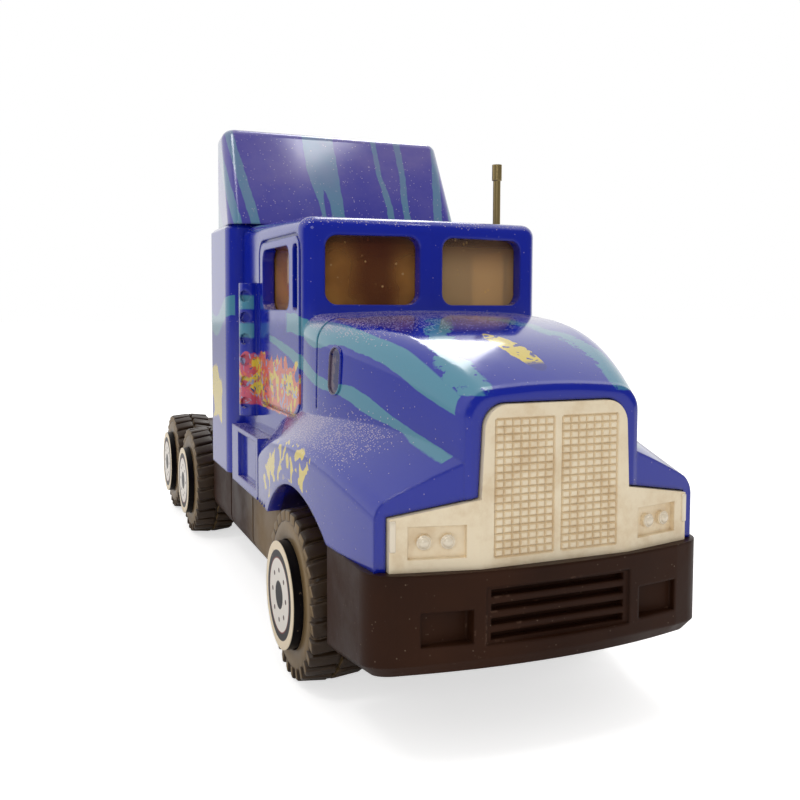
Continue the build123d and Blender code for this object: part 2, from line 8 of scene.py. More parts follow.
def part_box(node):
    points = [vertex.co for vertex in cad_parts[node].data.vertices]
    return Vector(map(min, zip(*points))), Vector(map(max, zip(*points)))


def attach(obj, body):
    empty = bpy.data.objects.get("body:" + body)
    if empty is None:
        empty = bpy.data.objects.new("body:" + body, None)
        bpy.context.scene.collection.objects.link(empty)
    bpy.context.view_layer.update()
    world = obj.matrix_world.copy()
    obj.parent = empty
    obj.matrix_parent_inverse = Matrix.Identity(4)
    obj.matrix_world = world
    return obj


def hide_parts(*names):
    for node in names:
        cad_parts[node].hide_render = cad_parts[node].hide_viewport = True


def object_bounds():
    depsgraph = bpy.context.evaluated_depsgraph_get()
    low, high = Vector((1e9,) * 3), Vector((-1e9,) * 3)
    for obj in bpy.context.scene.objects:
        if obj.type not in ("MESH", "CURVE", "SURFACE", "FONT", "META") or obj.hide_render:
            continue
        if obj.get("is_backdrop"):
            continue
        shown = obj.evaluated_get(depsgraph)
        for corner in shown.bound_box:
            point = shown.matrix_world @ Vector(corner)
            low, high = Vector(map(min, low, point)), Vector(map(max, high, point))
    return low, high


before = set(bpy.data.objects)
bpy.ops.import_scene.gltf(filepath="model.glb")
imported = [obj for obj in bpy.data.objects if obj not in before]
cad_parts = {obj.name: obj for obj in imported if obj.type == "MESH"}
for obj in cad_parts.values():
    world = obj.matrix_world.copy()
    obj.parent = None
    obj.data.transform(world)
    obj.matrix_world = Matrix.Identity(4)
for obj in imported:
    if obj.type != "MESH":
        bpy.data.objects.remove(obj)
cadLow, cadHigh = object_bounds()
mm = 0.001
noseY = cadLow[1]  # stations are counted back from here, in millimetres
print("frame loaded")


# Small helpers for node trees

def addNode(tree, kind, **settings):
    node = tree.nodes.new("ShaderNode" + kind)
    for key, value in settings.items():
        setattr(node, key, value)
    return node


def feed(tree, value, socket):
    if isinstance(value, bpy.types.NodeSocket):
        tree.links.new(value, socket)
    elif value is not None:
        if socket.type == "RGBA" and len(value) == 3:
            value = (*value, 1)
        socket.default_value = value


def calc(tree, operation, a, b=None, c=None, clamp=False):
    node = addNode(tree, "Math", operation=operation, use_clamp=clamp)
    for socket, value in zip(node.inputs, (a, b, c)):
        feed(tree, value, socket)
    return node.outputs[0]


def mixColor(tree, factor, a, b, blend="MIX"):
    node = addNode(tree, "Mix", data_type="RGBA", blend_type=blend)
    feed(tree, factor, node.inputs["Factor"])
    feed(tree, a, node.inputs[6])
    feed(tree, b, node.inputs[7])
    return node.outputs[2]


def ramp(tree, value, low, high, first=0.0, last=1.0):
    node = addNode(tree, "MapRange", interpolation_type="SMOOTHSTEP")
    for socket, number in zip(node.inputs, (value, low, high, first, last)):
        feed(tree, number, socket)
    return node.outputs[0]


def curveOf(tree, value, span, points):
    # A smooth line through a few (place, value) pairs, all within 0 to span
    node = addNode(tree, "FloatCurve")
    feed(tree, calc(tree, "DIVIDE", value, span), node.inputs["Value"])
    curve = node.mapping.curves[0]
    while len(curve.points) < len(points):
        curve.points.new(0.5, 0.5)
    for dot, (place, height) in zip(curve.points, points):
        dot.location = (place / span, height / span)
    node.mapping.update()
    return calc(tree, "MULTIPLY", node.outputs[0], span)


def both(tree, *masks):
    result = masks[0]
    for mask in masks[1:]:
        result = calc(tree, "MULTIPLY", result, mask)
    return result


def either(tree, *masks):
    result = masks[0]
    for mask in masks[1:]:
        result = calc(tree, "MAXIMUM", result, mask)
    return result


def above(tree, value, limit, soft=0.06):
    # 1 where value is over the limit, 0 under it
    return ramp(tree, calc(tree, "SUBTRACT", value, limit), -soft, soft)


def within(tree, value, low, high, soft=0.06):
    return both(tree, above(tree, value, low, soft), above(tree, high, value, soft))


def noise(tree, vector, scale, detail=2.0, roughness=0.5, distortion=0.0):
    node = addNode(tree, "TexNoise")
    feed(tree, vector, node.inputs["Vector"])
    for key, value in (
        ("Scale", scale), ("Detail", detail), ("Roughness", roughness), ("Distortion", distortion),
    ):
        feed(tree, value, node.inputs[key])
    return node.outputs["Fac"]


def sway(tree, vector, scale, amount, detail=3.0, roughness=0.5):
    # Noise round zero, as an offset in millimetres
    return calc(
        tree, "MULTIPLY", calc(tree, "SUBTRACT", noise(tree, vector, scale, detail, roughness), 0.5),
        amount,
    )


def lengthOf(tree, a, b):
    return calc(tree, "SQRT", calc(tree, "ADD", calc(tree, "POWER", a, 2), calc(tree, "POWER", b, 2)))


def upFacing(tree):
    # The surface normal's upright part
    split = addNode(tree, "SeparateXYZ")
    feed(tree, addNode(tree, "NewGeometry").outputs["Normal"], split.inputs[0])
    return split.outputs[2]


def newMaterial(name, color, roughness, metallic=0.0):
    material = bpy.data.materials.new(name)
    material.use_nodes = True
    tree = material.node_tree
    shader = tree.nodes["Principled BSDF"]
    shader.inputs["Base Color"].default_value = (*color, 1)
    shader.inputs["Roughness"].default_value = roughness
    shader.inputs["Metallic"].default_value = metallic
    return material, tree, shader


def dress(name, material):
    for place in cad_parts[name].material_slots:
        place.material = material


# Shared effects, built once

def makeGroup(name, inputs, outputs):
    group = bpy.data.node_groups.new(name, "ShaderNodeTree")
    for label, value in inputs:
        group.interface.new_socket(
            label, in_out="INPUT", socket_type="NodeSocketFloat",
        ).default_value = value
    for label, kind in outputs:
        group.interface.new_socket(label, in_out="OUTPUT", socket_type="NodeSocket" + kind)
    return group, group.nodes.new("NodeGroupInput").outputs, group.nodes.new("NodeGroupOutput").inputs


def useGroup(tree, group, **values):
    node = tree.nodes.new("ShaderNodeGroup")
    node.node_tree = group
    for key, value in values.items():
        feed(tree, value, node.inputs[key])
    return node.outputs


# A point of the toy in millimetres: station from the nose, height, signed and plain distance from the middle
places, _, placesOut = makeGroup(
    "places", [], [(key, "Float") for key in ("Station", "Height", "Across", "Side")],
)
placesSplit = addNode(places, "SeparateXYZ")
feed(places, addNode(places, "TexCoord").outputs["Object"], placesSplit.inputs[0])
stretched = [calc(places, "DIVIDE", placesSplit.outputs[axis], mm) for axis in range(3)]
feed(places, calc(places, "SUBTRACT", stretched[1], noseY / mm), placesOut["Station"])
feed(places, stretched[2], placesOut["Height"])
feed(places, stretched[0], placesOut["Across"])
feed(places, calc(places, "ABSOLUTE", stretched[0]), placesOut["Side"])

# Fine surface grain and a slow mottle
grain, grainIn, grainOut = makeGroup(
    "grain", [("Scale", 900.0)], [("Height", "Float"), ("Mottle", "Float")],
)
grainCoord = addNode(grain, "TexCoord").outputs["Object"]
feed(grain, noise(grain, grainCoord, grainIn["Scale"], 4.0, 0.6), grainOut["Height"])
feed(
    grain, noise(grain, grainCoord, calc(grain, "MULTIPLY", grainIn["Scale"], 0.12), 3.0),
    grainOut["Mottle"],
)

# Rounded edges, and the worn line along them
edges, edgesIn, edgesOut = makeGroup(
    "edges", [("Radius", 0.0003), ("Wear", 0.5)], [("Normal", "Vector"), ("Mask", "Float")],
)
bevelled = addNode(edges, "Bevel", samples=6)
feed(edges, edgesIn["Radius"], bevelled.inputs["Radius"])
feed(edges, bevelled.outputs[0], edgesOut["Normal"])
turned = addNode(edges, "VectorMath", operation="DOT_PRODUCT")
feed(edges, bevelled.outputs[0], turned.inputs[0])
feed(edges, addNode(edges, "NewGeometry").outputs["True Normal"], turned.inputs[1])
worn = ramp(edges, turned.outputs["Value"], 0.995, 0.93)
patchy = noise(edges, addNode(edges, "TexCoord").outputs["Object"], 420.0, 4.0, 0.65)
feed(
    edges, both(edges, worn, above(edges, patchy, calc(edges, "SUBTRACT", 1.0, edgesIn["Wear"]), 0.03)),
    edgesOut["Mask"],
)

# Pale dust: scattered grains that close up where Amount is high
dust, dustIn, dustOut = makeGroup(
    "dust", [("Amount", 0.5), ("Scale", 7500.0)], [("Mask", "Float"), ("Height", "Float")],
)
dustCoord = addNode(dust, "TexCoord").outputs["Object"]
dustCells = addNode(dust, "TexVoronoi", feature="F1")
feed(dust, dustCoord, dustCells.inputs["Vector"])
feed(dust, dustIn["Scale"], dustCells.inputs["Scale"])
dustPick = addNode(dust, "SeparateColor")
feed(dust, dustCells.outputs["Color"], dustPick.inputs[0])
drift = calc(
    dust, "MULTIPLY", dustIn["Amount"],
    ramp(dust, noise(dust, dustCoord, 330.0, 4.0, 0.6), 0.3, 0.62, 0.25, 1.0),
)
speck = both(
    dust, above(dust, drift, dustPick.outputs[0], 0.012),
    ramp(dust, dustCells.outputs["Distance"], 0.55, 0.2),
)
feed(dust, speck, dustOut["Mask"])
feed(dust, calc(dust, "MULTIPLY", speck, dustPick.outputs[1]), dustOut["Height"])


def finishSurface(tree, shader, scale, strength, radius, wear=0.0, extraHeight=None, distance=0.00005):
    # Grain and rounded edges together; hands back the grain's and the edges' outputs
    fine = useGroup(tree, grain, Scale=scale)
    rim = useGroup(tree, edges, Radius=radius, Wear=wear)
    bump = addNode(tree, "Bump")
    bump.inputs["Strength"].default_value = strength
    bump.inputs["Distance"].default_value = distance
    height = fine["Height"]
    if extraHeight is not None:
        height = calc(tree, "ADD", height, extraHeight)
    feed(tree, height, bump.inputs["Height"])
    feed(tree, rim["Normal"], bump.inputs["Normal"])
    feed(tree, bump.outputs[0], shader.inputs["Normal"])
    return fine, rim


# Blue enamel with teal stripes
paint = dict(
    blue=(0.004, 0.017, 0.38), deepBlue=(0.002, 0.008, 0.26), teal=(0.085, 0.32, 0.40),
    zinc=(0.42, 0.41, 0.40),
    # The last colour on the next line is painted shade, used inside the wheel arches
    # The pale lavender on the next line paints sheen, with dust, on the hood and fairing
    dustColor=(0.60, 0.50, 0.56), dustAndSheen=(0.34, 0.27, 0.46), grimeAndShade=(0.020, 0.012, 0.009), roughness=0.1,
    coat=0.5, coatRoughness=0.09, edgeRadius=0.00035, wear=0.24,
    yellow=(0.92, 0.70, 0.015), orange=(0.86, 0.17, 0.03), rose=(0.72, 0.09, 0.12),
    lilac=(0.42, 0.45, 0.68),
)
# Stripe edges on the hood's and door's sides: (station, height) in millimetres
stripes = dict(
    span=60.0,
    upperLow=(
        (2.5, 23.6), (5.6, 24.8), (8.6, 26.2), (12.4, 27.2), (16.0, 27.7), (20.5, 27.3), (24.6, 28.2),
        (29, 28.3), (39.5, 26.8),
    ),
    upperTop=((0, 45), (19, 45), (22, 29.9), (26, 30.1), (39, 30.2)),
    upperInner=((2.7, 7.0), (5.4, 7.7), (8.3, 8.3), (12.0, 9.3), (16.6, 10.1), (19.3, 10.5)),
    lowerTop=(
        (2.8, 20.9), (5.5, 21.8), (8.6, 22.9), (12.6, 24.4), (17.4, 24.8), (19.8, 25.2), (22.8, 26.1),
        (30.7, 27.5), (35, 28),
    ),
    lowerLow=(
        (2.4, 20.3), (4.6, 20.9), (8.6, 22.1), (12.1, 22.8), (14.4, 23.6), (19.8, 24.2), (23.5, 25.0),
        (27.4, 26.0), (33.6, 27.2),
    ),
    topMiddle=((1.8, 6.0), (4.0, 6.2), (7.0, 5.8), (10.0, 4.9), (13.6, 3.3), (17.0, 1.8)),
    topHalf=0.8, edgeNoise=0.35, upperStart=2.2, upperEnd=39.3, lowerInner=6.4, lowerStart=2.4,
    lowerEnd=34.6,
    topStart=1.0, topEnd=15.5, topFoot=((2.0, 24.9), (9.0, 27.7)),
)


def startPaint(name):
    material, tree, shader = newMaterial(name, paint["blue"], paint["roughness"])
    spot = useGroup(tree, places)
    coord = addNode(tree, "TexCoord").outputs["Object"]
    wobble = sway(tree, coord, 900.0, stripes["edgeNoise"])
    shader.inputs["Coat Weight"].default_value = paint["coat"]
    shader.inputs["Coat Roughness"].default_value = paint["coatRoughness"]
    return material, tree, shader, spot, coord, wobble


def endPaint(tree, shader, color, dustAmount, coord):
    grit = useGroup(tree, dust, Amount=dustAmount)
    fine, rim = finishSurface(tree, shader, 260.0, 0.1, paint["edgeRadius"], paint["wear"], grit["Height"])
    color = mixColor(
        tree, calc(tree, "MULTIPLY", fine["Mottle"], 0.7), color,
        mixColor(tree, 0.55, color, paint["deepBlue"]),
    )
    color = mixColor(tree, calc(tree, "MULTIPLY", grit["Mask"], 0.85), color, paint["dustColor"])
    color = mixColor(tree, rim["Mask"], color, paint["zinc"])
    feed(tree, color, shader.inputs["Base Color"])
    smear = ramp(
        tree, noise(tree, coord, 140.0, 5.0, 0.65), 0.4, 0.75, paint["roughness"], paint["roughness"] + 0.1,
    )
    rough = calc(tree, "ADD", smear, calc(tree, "MULTIPLY", grit["Mask"], 0.45))
    feed(tree, rough, shader.inputs["Roughness"])


cabPaint, tree, shader, spot, coord, wobble = startPaint("cabPaint")
station = calc(tree, "ADD", spot["Station"], wobble)
height = calc(tree, "ADD", spot["Height"], wobble)
span = stripes["span"]
upper = both(
    tree,
    above(tree, height, curveOf(tree, station, span, stripes["upperLow"])),
    above(tree, curveOf(tree, station, span, stripes["upperTop"]), height),
    above(tree, spot["Side"], curveOf(tree, station, span, stripes["upperInner"])),
    within(tree, station, stripes["upperStart"], stripes["upperEnd"]),
)
lower = both(
    tree,
    above(tree, height, curveOf(tree, station, span, stripes["lowerLow"])),
    above(tree, curveOf(tree, station, span, stripes["lowerTop"]), height),
    above(tree, spot["Side"], stripes["lowerInner"]),
    within(tree, station, stripes["lowerStart"], stripes["lowerEnd"]),
)
# Dry-brushed stripe on top of the hood, broken up towards its back
brush = noise(tree, coord, 700.0, 3.0, 0.7)
topOffset = calc(
    tree, "ABSOLUTE",
    calc(tree, "SUBTRACT", spot["Side"], curveOf(tree, station, span, stripes["topMiddle"])),
)
topWidth = calc(tree, "MULTIPLY", stripes["topHalf"], ramp(tree, brush, 0.3, 0.6, 0.4, 1.6))
(footStart, footLow), (footEnd, footHigh) = stripes["topFoot"]
onTop = both(
    tree, above(tree, height, ramp(tree, station, footStart, footEnd, footLow, footHigh)),
    within(tree, station, stripes["topStart"], stripes["topEnd"], 0.8),
)
topStripe = both(tree, above(tree, topWidth, topOffset, 0.15), onTop)
guard = dict(side=12.3, start=39.0, end=42.2, bands=((30.4, 31.8), (27.5, 29.0)), soft=0.15)
guardBands = both(
    tree, above(tree, spot["Side"], guard["side"]), within(tree, station, guard["start"], guard["end"]),
    either(tree, *[within(tree, height, low, high, guard["soft"]) for low, high in guard["bands"]]),
)
teal = either(tree, upper, lower, topStripe, guardBands)
color = mixColor(tree, teal, paint["blue"], paint["teal"])

# A lively patch of warm brush marks on the door's lower half and the guard
flames = dict(
    start=24.5, end=41.9, side=11.4, topFrom=24.6, topTo=26.3, topEnd=36.0,
    footStart=24.3, footEnd=27.5, footFrom=22.2, footTo=20.6, wave=6.0,
    yellowOver=0.56, lilacOver=0.6, dimUnder=0.36, dim=(0.02, 0.10, 0.30), roseStart=34.0, roseEnd=41.0,
)
warp = sway(tree, coord, 330.0, flames["wave"], 2.0, 0.6)
flameTop = calc(
    tree, "ADD", ramp(tree, station, flames["start"], flames["topEnd"], flames["topFrom"], flames["topTo"]),
    warp,
)
flameFoot = ramp(
    tree, station, flames["footStart"], flames["footEnd"], flames["footFrom"], flames["footTo"],
)
flame = both(
    tree, above(tree, flameTop, height, 0.1), above(tree, height, flameFoot, 0.1),
    within(tree, station, flames["start"], flames["end"], 0.2), above(tree, spot["Side"], flames["side"]),
)
tongues = noise(tree, coord, 520.0, 2.0, 0.5, 1.2)
warm = mixColor(tree, above(tree, tongues, flames["yellowOver"], 0.02), paint["orange"], paint["yellow"])
roseShare = ramp(tree, station, flames["roseStart"], flames["roseEnd"], 0.30, 0.52)
warm = mixColor(tree, above(tree, roseShare, tongues, 0.02), warm, paint["rose"])
swirl = noise(tree, coord, 640.0, 2.0, 0.5, 2.0)
warm = mixColor(tree, above(tree, swirl, flames["lilacOver"], 0.02), warm, paint["lilac"])
warm = mixColor(tree, above(tree, flames["dimUnder"], swirl, 0.02), warm, flames["dim"])
color = mixColor(tree, flame, color, warm)

# Loose yellow brush strokes that follow the wheel arch
dash = dict(
    archStation=18.5, archHeight=3.2, inner=13.2, outer=16.4, firstAngle=0.80, lastAngle=1.86,
    aroundScale=7.5, outScale=0.42, low=0.52, side=12.7, ragged=1.6,
)
fromArch = [
    calc(tree, "SUBTRACT", spot["Station"], dash["archStation"]),
    calc(tree, "SUBTRACT", spot["Height"], dash["archHeight"]),
]
angle = calc(tree, "ARCTAN2", fromArch[1], fromArch[0])
reach = lengthOf(tree, *fromArch)
ragged = sway(tree, coord, 800.0, dash["ragged"], 2.0)
along = addNode(tree, "CombineXYZ")
feed(tree, calc(tree, "MULTIPLY", angle, dash["aroundScale"]), along.inputs[0])
feed(tree, calc(tree, "MULTIPLY", reach, dash["outScale"]), along.inputs[1])
yellowDash = both(
    tree, above(tree, noise(tree, along.outputs[0], 1.6, 1.0, 0.5, 0.5), dash["low"], 0.01),
    within(tree, calc(tree, "ADD", reach, ragged), dash["inner"], dash["outer"], 0.08),
    within(tree, angle, dash["firstAngle"], dash["lastAngle"], 0.01),
    above(tree, spot["Side"], dash["side"]),
)
color = mixColor(tree, yellowDash, color, paint["yellow"])

# Small yellow dabs with dark blue in them on top of the hood
dab = dict(across=-0.7, station=6.0, halfLong=3.1, halfWide=1.0, slant=0.22, lowest=25.5, darkBefore=3.9)
dabAlong = calc(tree, "SUBTRACT", station, dab["station"])
dabAcross = calc(
    tree, "ADD", calc(tree, "SUBTRACT", spot["Across"], dab["across"]),
    calc(tree, "MULTIPLY", dabAlong, dab["slant"]),
)
dabRound = calc(
    tree, "ADD", calc(tree, "POWER", calc(tree, "DIVIDE", dabAcross, dab["halfWide"]), 2),
    calc(tree, "POWER", calc(tree, "DIVIDE", dabAlong, dab["halfLong"]), 2),
)
dabMask = both(
    tree, above(tree, calc(tree, "ADD", 1.0, calc(tree, "MULTIPLY", ragged, 0.7)), dabRound, 0.08),
    above(tree, spot["Height"], dab["lowest"]),
)
dabColor = mixColor(tree, above(tree, dab["darkBefore"], station, 0.3), paint["yellow"], paint["deepBlue"])
dabColor = mixColor(tree, above(tree, swirl, 0.57, 0.02), dabColor, paint["deepBlue"])
color = mixColor(tree, dabMask, color, dabColor)

# Dust on the level surfaces at the back of the hood, along its foot and on the roof; painted sheen on the
# back of the hood
upright = upFacing(tree)
dusty = dict(
    hoodStart=8.5, hoodEnd=20.5, hoodTop=31.0, hood=1.5, footLow=19.6, footHigh=22.6, footStart=8.0,
    footEnd=25.0, foot=0.85,
    roofOver=37.6, roof=0.35, stray=0.002, sheenStart=12.0, sheenEnd=21.0, dustAndSheen=0.55,
)
levelHood = both(
    tree, ramp(tree, upright, 0.35, 0.8), ramp(tree, station, dusty["hoodStart"], dusty["hoodEnd"]),
    above(tree, dusty["hoodTop"], height),
)
footDust = both(
    tree, ramp(tree, upright, -0.1, 0.5, 0.3, 1.0),
    within(tree, height, dusty["footLow"], dusty["footHigh"], 1.2),
    within(tree, station, dusty["footStart"], dusty["footEnd"], 2.5),
)
roofDust = both(tree, above(tree, height, dusty["roofOver"], 0.3), ramp(tree, upright, 0.2, 0.9))
dustAmount = calc(tree, "ADD", either(
    tree, calc(tree, "MULTIPLY", levelHood, dusty["hood"]), calc(tree, "MULTIPLY", footDust, dusty["foot"]),
    calc(tree, "MULTIPLY", roofDust, dusty["roof"]),
), dusty["stray"])
# Painted sheen with dust: a pale lavender tint on the up-facing back of the hood stands in for reflected
# light
hoodDustAndSheen = both(tree, levelHood, ramp(tree, station, dusty["sheenStart"], dusty["sheenEnd"]), dusty["dustAndSheen"])
color = mixColor(tree, hoodDustAndSheen, color, paint["dustAndSheen"])

# Painted shade: near-black up inside the wheel arches, where shadow falls
arch = dict(side=12.7, top=14.5, start=8.5, end=29.5)
archShade = both(
    tree, above(tree, arch["side"], spot["Side"], 0.3), above(tree, arch["top"], spot["Height"], 1.0),
    within(tree, spot["Station"], arch["start"], arch["end"], 0.5),
)
color = mixColor(tree, archShade, color, paint["grimeAndShade"])

# Scuffed bed of the oval
oval = dict(
    station=16.05, height=25.65, halfLong=2.0, halfWide=1.0, wall=0.2, lift=0.16, sink=0.05, slant=4.0,
    side=10.0, bevel=0.06, bed=(0.003, 0.006, 0.07), bare=(0.13, 0.09, 0.10),
)
fromOval = [
    calc(tree, "SUBTRACT", spot["Station"], oval["station"]),
    calc(tree, "SUBTRACT", spot["Height"], oval["height"]),
]
alongOval = calc(
    tree, "MAXIMUM",
    calc(tree, "SUBTRACT", calc(tree, "ABSOLUTE", fromOval[1]), oval["halfLong"] - oval["halfWide"]), 0.0,
)
fromOvalLine = calc(
    tree, "ADD", fromOval[0], calc(tree, "MULTIPLY", fromOval[1], math.tan(math.radians(oval["slant"]))),
)
ovalReach = lengthOf(tree, fromOvalLine, alongOval)
ovalBed = both(
    tree, above(tree, oval["halfWide"] - 0.1, ovalReach, 0.05), above(tree, spot["Side"], oval["side"]),
)
chipped = above(
    tree,
    calc(tree, "ADD", noise(tree, coord, 1500.0, 3.0, 0.6), calc(tree, "MULTIPLY", fromOval[0], 0.16)), 0.5,
    0.04,
)
color = mixColor(tree, ovalBed, color, mixColor(tree, chipped, oval["bed"], oval["bare"]))
endPaint(tree, shader, color, dustAmount, coord)

# Fairing: near-upright stripes on the raked front, slanting ones round the corners
fairingPaint, tree, shader, spot, coord, wobble = startPaint("fairingPaint")
height = spot["Height"]
across = calc(tree, "ADD", spot["Across"], wobble)
aside = calc(tree, "ADD", spot["Side"], wobble)
# Stripes on the front as two edges, each (foot height, top height, across at the foot, across at the top)
fairingStripes = (
    ((41.0, 47.0, -3.2, -4.2), (42.0, 46.5, -2.7, -2.2)),
    ((42.0, 46.5, -2.0, -3.2), (42.0, 46.5, -0.45, -0.45)),
    ((42.0, 47.0, 4.8, 4.3), (42.0, 47.0, 5.6, 4.9)),
    ((42.0, 47.0, 6.8, 7.2), (42.0, 47.0, 7.6, 8.0)),
)
# The bands of the corners are (start, width)
corner = dict(
    station=45.0, slant=0.35, height=42.0, lean=0.36, bands=((11.0, 1.1), (13.1, 1.0), (16.0, 1.5)),
)
fairingBands = [
    within(
        tree, across, ramp(tree, height, *low), ramp(tree, height, *high),
    ) for low, high in fairingStripes
]
slant = calc(
    tree, "ADD", aside,
    calc(tree, "MULTIPLY", calc(tree, "SUBTRACT", spot["Station"], corner["station"]), corner["slant"]),
)
rise = calc(tree, "MULTIPLY", calc(tree, "SUBTRACT", height, corner["height"]), corner["lean"])
for start, wide in corner["bands"]:
    lean = calc(tree, "ADD", start, rise)
    fairingBands.append(within(tree, slant, lean, calc(tree, "ADD", lean, wide)))
color = mixColor(tree, either(tree, *fairingBands), paint["blue"], paint["teal"])
upright = upFacing(tree)
# Painted sheen: pale lavender, stronger towards the top of the fairing, stands in for reflected light
sheenFade = dict(foot=38.0, top=49.0, least=0.25, most=0.62)
fairingSheen = both(
    tree, ramp(tree, height, sheenFade["foot"], sheenFade["top"], sheenFade["least"], sheenFade["most"]),
    ramp(tree, noise(tree, coord, 160.0, 4.0, 0.6), 0.3, 0.7, 0.6, 1.0),
)
color = mixColor(tree, fairingSheen, color, paint["dustAndSheen"])
endPaint(tree, shader, color, ramp(tree, upright, 0.3, 0.9, 0.004, 0.2), coord)

# Sleeper: plain blue with one faded yellow patch low on each side
sleeperPaint, tree, shader, spot, coord, wobble = startPaint("sleeperPaint")
faded = dict(low=17.8, high=23.0, start=49.5, end=54.5, side=13.5, soft=0.3, edge=6.0)
patchEdge = sway(tree, coord, 330.0, faded["edge"])
patchHeight = calc(tree, "ADD", spot["Height"], patchEdge)
patchStation = calc(tree, "ADD", spot["Station"], patchEdge)
patch = both(
    tree, within(tree, patchHeight, faded["low"], faded["high"], faded["soft"]),
    within(tree, patchStation, faded["start"], faded["end"], faded["soft"]),
    above(tree, spot["Side"], faded["side"]),
)
band = dict(height=28.5, wave=1.2, turn=0.45, wide=2.2, side=13.0)
ripple = calc(tree, "SINE", calc(tree, "MULTIPLY", spot["Station"], band["turn"]))
sweep = calc(tree, "ADD", calc(tree, "MULTIPLY", ripple, band["wave"]), band["height"])
sideBand = both(
    tree,
    within(tree, calc(tree, "ADD", spot["Height"], wobble), sweep, calc(tree, "ADD", sweep, band["wide"])),
    above(tree, spot["Side"], band["side"]),
)
color = mixColor(tree, sideBand, paint["blue"], paint["teal"])
color = mixColor(tree, patch, color, paint["yellow"])
upright = upFacing(tree)
endPaint(tree, shader, color, ramp(tree, upright, 0.3, 0.9, 0.004, 0.2), coord)
print("paint done")

# Dark moulded plastic of the base
plastic = dict(
    black=(0.017, 0.005, 0.002), brown=(0.050, 0.018, 0.008), tan=(0.24, 0.16, 0.08), roughness=0.4,
    specular=0.12, grit=(0.4, 0.3, 0.22), worn=(0.16, 0.09, 0.06),
)
tank = dict(start=22.0, end=40.0, side=11.6, soft=5.0)
blackPlastic, tree, shader = newMaterial("blackPlastic", plastic["black"], plastic["roughness"])
shader.inputs["Specular IOR Level"].default_value = plastic["specular"]
coord = addNode(tree, "TexCoord").outputs["Object"]
fine, rim = finishSurface(tree, shader, 1500.0, 0.2, 0.0003, 0.35)
color = mixColor(tree, fine["Mottle"], plastic["black"], plastic["brown"])
grit = useGroup(tree, dust, Amount=0.0015)
color = mixColor(tree, calc(tree, "MULTIPLY", grit["Mask"], 0.6), color, plastic["grit"])
color = mixColor(tree, calc(tree, "MULTIPLY", rim["Mask"], 0.6), color, plastic["worn"])
spot = useGroup(tree, places)
# Painted sheen: tan patches on the tank sides stand in for reflected light on the dark plastic
tankSheen = both(
    tree, within(tree, spot["Station"], tank["start"], tank["end"], tank["soft"]),
    above(tree, spot["Side"], tank["side"]),
    ramp(tree, noise(tree, coord, 120.0, 4.0), 0.25, 0.6, 0.5, 0.9),
)
color = mixColor(tree, tankSheen, color, plastic["tan"])
feed(tree, color, shader.inputs["Base Color"])
feed(
    tree,
    ramp(
        tree, noise(tree, coord, 180.0, 4.0, 0.6), 0.35, 0.7, plastic["roughness"] - 0.06,
        plastic["roughness"] + 0.14,
    ),
    shader.inputs["Roughness"],
)

# Cream metallic finish of the grille
pale = dict(
    cream=(0.97, 0.83, 0.60), shade=(0.84, 0.67, 0.44), grooveShade=(0.76, 0.60, 0.38), roughness=0.28,
    metallic=0.12,
)
palePlastic, tree, shader = newMaterial("palePlastic", pale["cream"], pale["roughness"], pale["metallic"])
coord = addNode(tree, "TexCoord").outputs["Object"]
spot = useGroup(tree, places)
field = dict(side=4.9, low=13.9, high=23.4, face=0.85)
finishSurface(tree, shader, 1600.0, 0.15, 0.00006, 0.5)
grimeAndShade = ramp(tree, noise(tree, coord, 420.0, 5.0, 0.65), 0.42, 0.72)
color = mixColor(tree, grimeAndShade, pale["cream"], pale["shade"])
# Painted shade: the field darkens where it lies deeper behind the grille's front face
depth = calc(tree, "SUBTRACT", spot["Station"], field["face"])
inField = both(
    tree, above(tree, field["side"], spot["Side"]),
    within(tree, spot["Height"], field["low"], field["high"]),
)
color = mixColor(tree, both(tree, inField, ramp(tree, depth, 0.02, 0.2), 0.3), color, pale["grooveShade"])
feed(tree, color, shader.inputs["Base Color"])

# Amber window moulding
amber = dict(
    gold=(0.78, 0.39, 0.10), tan=(0.78, 0.54, 0.28), deep=(0.17, 0.04, 0.022), fleck=(0.95, 0.62, 0.25),
    roughness=0.06, transmission=0.6, ior=1.3,
)
pane = dict(darkFrom=-6.9, darkTo=-2.6, soft=1.5, start=22.0, end=28.0, shadeFrom=33.5, shadeTo=38.0)
amberWindow, tree, shader = newMaterial("amberWindow", amber["gold"], amber["roughness"])
coord = addNode(tree, "TexCoord").outputs["Object"]
spot = useGroup(tree, places)
# Painted shade: a dark cloud across the left pane stands in for the shaded cab behind it
cloud = sway(tree, coord, 240.0, 2.0, 2.0)
paneShade = both(
    tree,
    within(tree, calc(tree, "ADD", spot["Across"], cloud), pane["darkFrom"], pane["darkTo"], pane["soft"]),
    within(tree, spot["Station"], pane["start"], pane["end"]),
)
color = mixColor(
    tree, ramp(tree, noise(tree, coord, 260.0, 3.0), 0.35, 0.7, 0.0, 0.35), amber["gold"], amber["deep"],
)
# Painted light: the right pane turns lighter tan, standing in for light coming through it
color = mixColor(tree, ramp(tree, spot["Across"], 0.0, 2.0), color, amber["tan"])
color = mixColor(tree, calc(tree, "MULTIPLY", paneShade, 0.85), color, amber["deep"])
